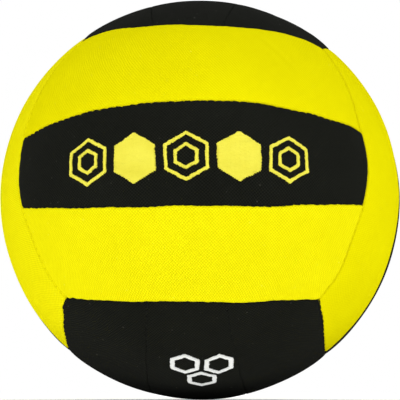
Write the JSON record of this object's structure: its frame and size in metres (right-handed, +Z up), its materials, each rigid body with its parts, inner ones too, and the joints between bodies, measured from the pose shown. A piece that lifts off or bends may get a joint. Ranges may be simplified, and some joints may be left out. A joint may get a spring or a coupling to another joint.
{
  "type": "dodgeball",
  "caption": "Round cloth-covered dodgeball with sewn yellow and black panels over foam padding, a lining, an inflatable rubber bladder and a needle valve.",
  "frame": {"origin": "the ball's centre", "axes": "+Y out through the valve, in the middle of the back face; the front face looks along -Y; +X to the right; +Z up, through the middle of the top face"},
  "size_m": [0.178, 0.1779, 0.178],
  "materials": {
    "yellow_cloth": "matte",
    "black_cloth": "matte",
    "seam_thread": "matte",
    "foam": "matte",
    "lining": "matte",
    "bladder_rubber": "satin",
    "valve_rubber": "satin"
  },
  "bodies": {
    "root": {"bladder": "bladder_rubber", "cover_back_lower": "yellow_cloth", "cover_back_middle": "black_cloth", "cover_back_upper": "yellow_cloth", "cover_bottom_left": "black_cloth", "cover_bottom_middle": "black_cloth", "cover_bottom_right": "black_cloth", "cover_front_lower": "yellow_cloth", "cover_front_middle": "black_cloth", "cover_front_upper": "yellow_cloth", "cover_left_front": "yellow_cloth", "cover_left_middle": "black_cloth", "cover_left_rear": "yellow_cloth", "cover_right_front": "yellow_cloth", "cover_right_middle": "black_cloth", "cover_right_rear": "yellow_cloth", "cover_top_left": "black_cloth", "cover_top_middle": "black_cloth", "cover_top_right": "black_cloth", "foam_back_lower": "foam", "foam_back_middle": "foam", "foam_back_upper": "foam", "foam_bottom_left": "foam", "foam_bottom_middle": "foam", "foam_bottom_right": "foam", "foam_front_lower": "foam", "foam_front_middle": "foam", "foam_front_upper": "foam", "foam_left_front": "foam", "foam_left_middle": "foam", "foam_left_rear": "foam", "foam_right_front": "foam", "foam_right_middle": "foam", "foam_right_rear": "foam", "foam_top_left": "foam", "foam_top_middle": "foam", "foam_top_right": "foam", "lining": "lining", "seam_thread_back": "seam_thread", "seam_thread_bottom": "seam_thread", "seam_thread_front": "seam_thread", "seam_thread_left": "seam_thread", "seam_thread_right": "seam_thread", "seam_thread_top": "seam_thread", "valve_boot": "valve_rubber", "valve_plug": "valve_rubber"}
  },
  "joints": []
}
